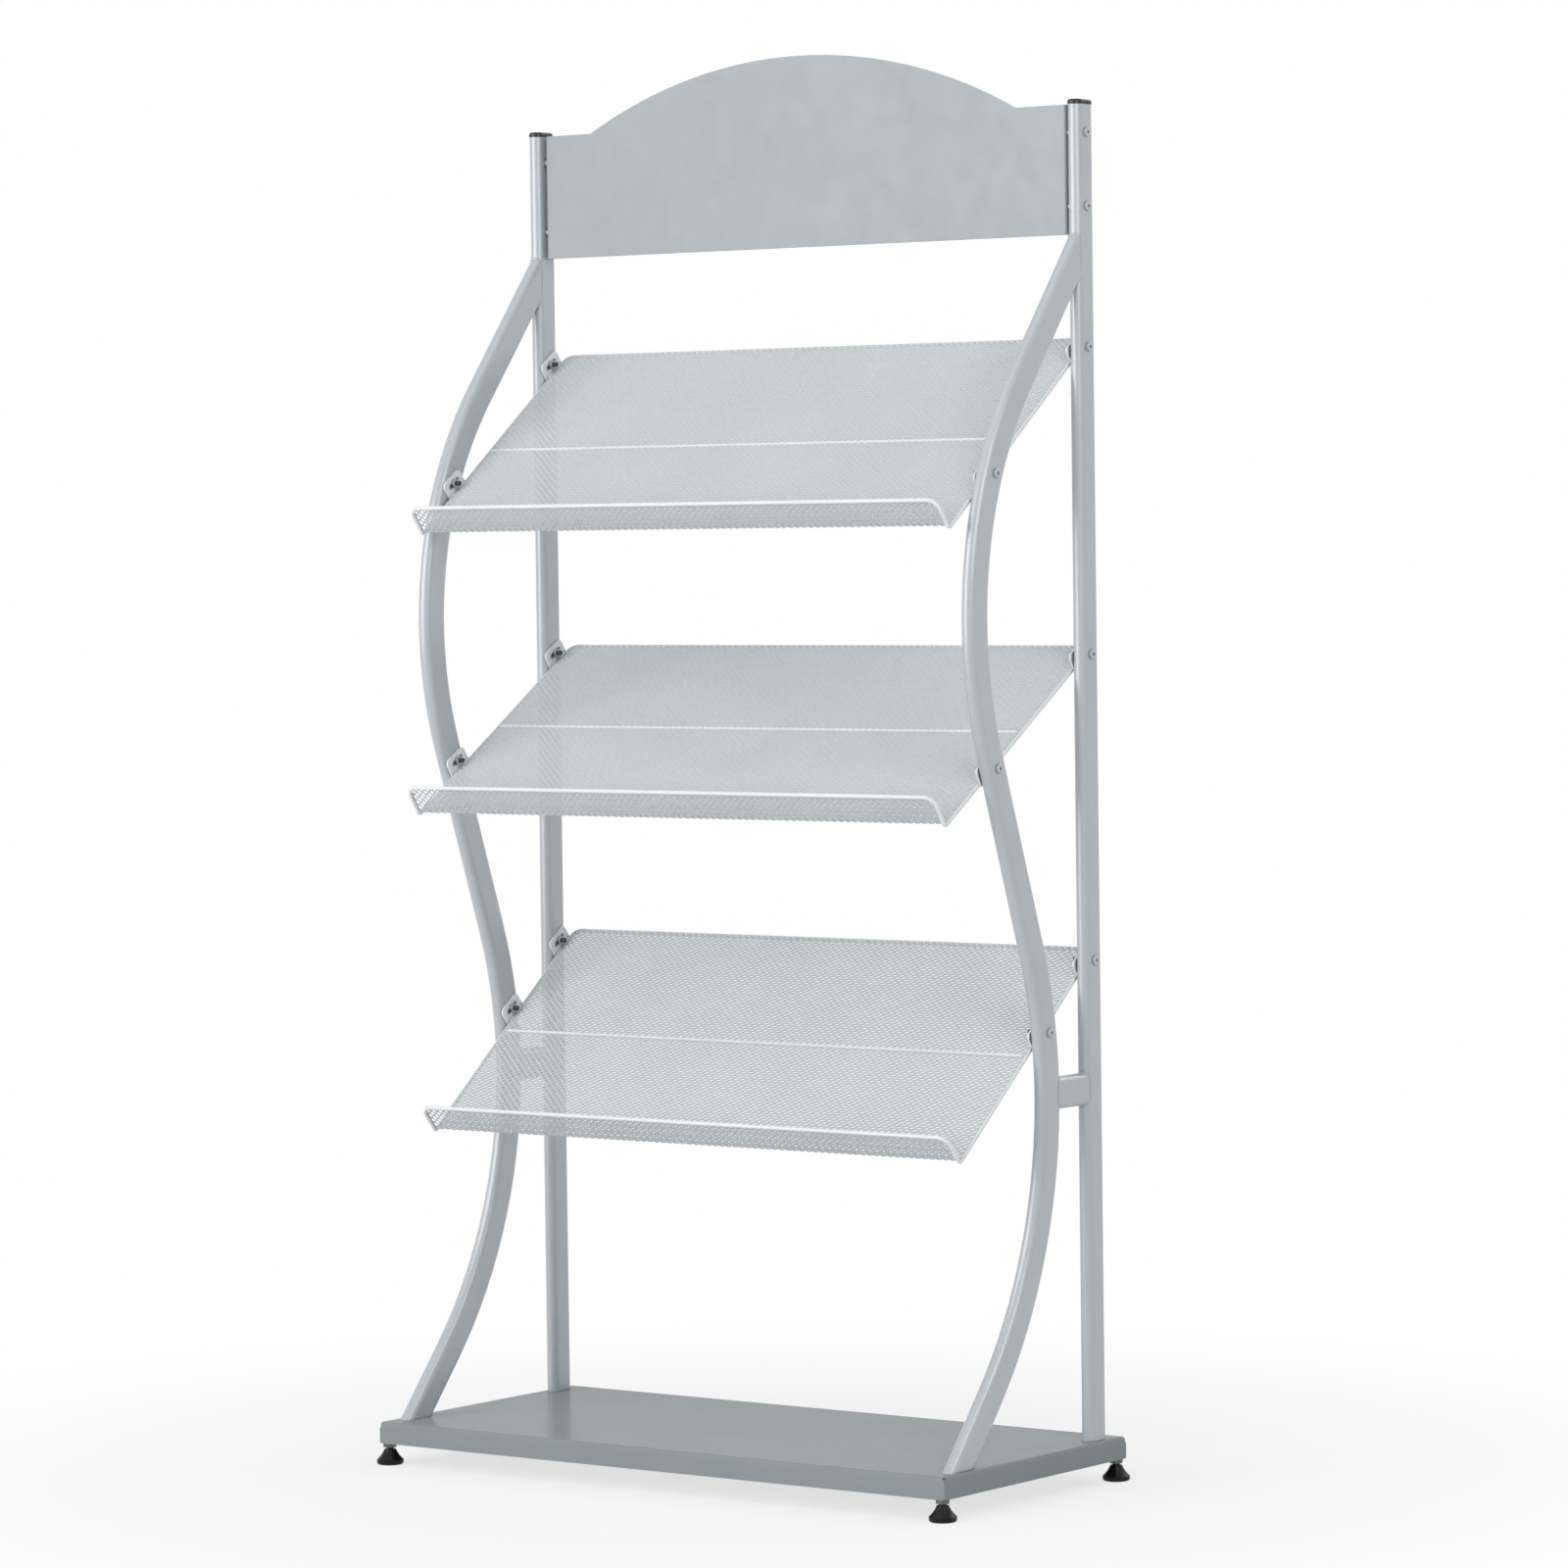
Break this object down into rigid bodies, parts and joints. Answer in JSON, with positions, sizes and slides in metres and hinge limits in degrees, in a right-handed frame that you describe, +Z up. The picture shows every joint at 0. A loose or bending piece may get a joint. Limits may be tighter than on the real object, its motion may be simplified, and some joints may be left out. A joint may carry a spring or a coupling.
{
  "type": "magazine display rack",
  "caption": "Free-standing steel tube rack with sloping expanded-mesh shelves, an arched sheet header and a folded base on levelling feet, for magazines or leaflets.",
  "frame": {"origin": "on the floor under the middle of the base", "axes": "+Z up, -Y to the front where the lips of the shelves are, +X to the right of someone facing the front"},
  "size_m": [0.733, 0.335, 1.4605],
  "materials": {
    "tube_silver": "satin silver-grey powder coat",
    "header_silver": "satin silver-grey powder coat",
    "base_grey": "semi-gloss silver-grey powder coat",
    "mesh_white": "pale grey powder coat",
    "wire_white": "pale grey powder coat",
    "screw_silver": "painted with the tubes",
    "zinc_steel": "zinc plated",
    "foot_black": "moulded",
    "cap_black": "moulded"
  },
  "bodies": {
    "rack": {"base_bolts": "zinc_steel", "base_tray": "base_grey", "base_washers": "zinc_steel", "bottom_shelf_cross_wire": "wire_white", "bottom_shelf_mesh": "mesh_white", "bottom_shelf_nuts": "zinc_steel", "bottom_shelf_rim_wire": "wire_white", "bottom_shelf_screws": "screw_silver", "bottom_shelf_tab_front_left": "wire_white", "bottom_shelf_tab_front_right": "wire_white", "bottom_shelf_tab_rear_left": "wire_white", "bottom_shelf_tab_rear_right": "wire_white", "curved_tube_left": "tube_silver", "curved_tube_right": "tube_silver", "foot_lock_nuts": "zinc_steel", "foot_plates": "base_grey", "header_nuts": "zinc_steel", "header_panel": "header_silver", "header_screws": "screw_silver", "header_washers": "zinc_steel", "middle_shelf_cross_wire": "wire_white", "middle_shelf_mesh": "mesh_white", "middle_shelf_nuts": "zinc_steel", "middle_shelf_rim_wire": "wire_white", "middle_shelf_screws": "screw_silver", "middle_shelf_tab_front_left": "wire_white", "middle_shelf_tab_front_right": "wire_white", "middle_shelf_tab_rear_left": "wire_white", "middle_shelf_tab_rear_right": "wire_white", "post_cap_left": "cap_black", "post_cap_right": "cap_black", "rear_post_left": "tube_silver", "rear_post_right": "tube_silver", "side_strut_left": "tube_silver", "side_strut_right": "tube_silver", "top_shelf_cross_wire": "wire_white", "top_shelf_mesh": "mesh_white", "top_shelf_nuts": "zinc_steel", "top_shelf_rim_wire": "wire_white", "top_shelf_screws": "screw_silver", "top_shelf_tab_front_left": "wire_white", "top_shelf_tab_front_right": "wire_white", "top_shelf_tab_rear_left": "wire_white", "top_shelf_tab_rear_right": "wire_white", "tube_foot_plugs_left": "zinc_steel", "tube_foot_plugs_right": "zinc_steel"},
    "foot_front_left": {"foot_pad_front_left": "foot_black", "foot_stud_front_left": "zinc_steel"},
    "foot_front_right": {"foot_pad_front_right": "foot_black", "foot_stud_front_right": "zinc_steel"},
    "foot_rear_left": {"foot_pad_rear_left": "foot_black", "foot_stud_rear_left": "zinc_steel"},
    "foot_rear_right": {"foot_pad_rear_right": "foot_black", "foot_stud_rear_right": "zinc_steel"}
  },
  "joints": [
    {"name": "foot_front_left_slide", "type": "slide", "parent": "rack", "child": "foot_front_left", "axis": [0, 0, -1], "range_m": [-0.0015, 0.012]},
    {"name": "foot_front_right_slide", "type": "slide", "parent": "rack", "child": "foot_front_right", "axis": [0, 0, -1], "range_m": [-0.0015, 0.012]},
    {"name": "foot_rear_left_slide", "type": "slide", "parent": "rack", "child": "foot_rear_left", "axis": [0, 0, -1], "range_m": [-0.0015, 0.012]},
    {"name": "foot_rear_right_slide", "type": "slide", "parent": "rack", "child": "foot_rear_right", "axis": [0, 0, -1], "range_m": [-0.0015, 0.012]}
  ]
}
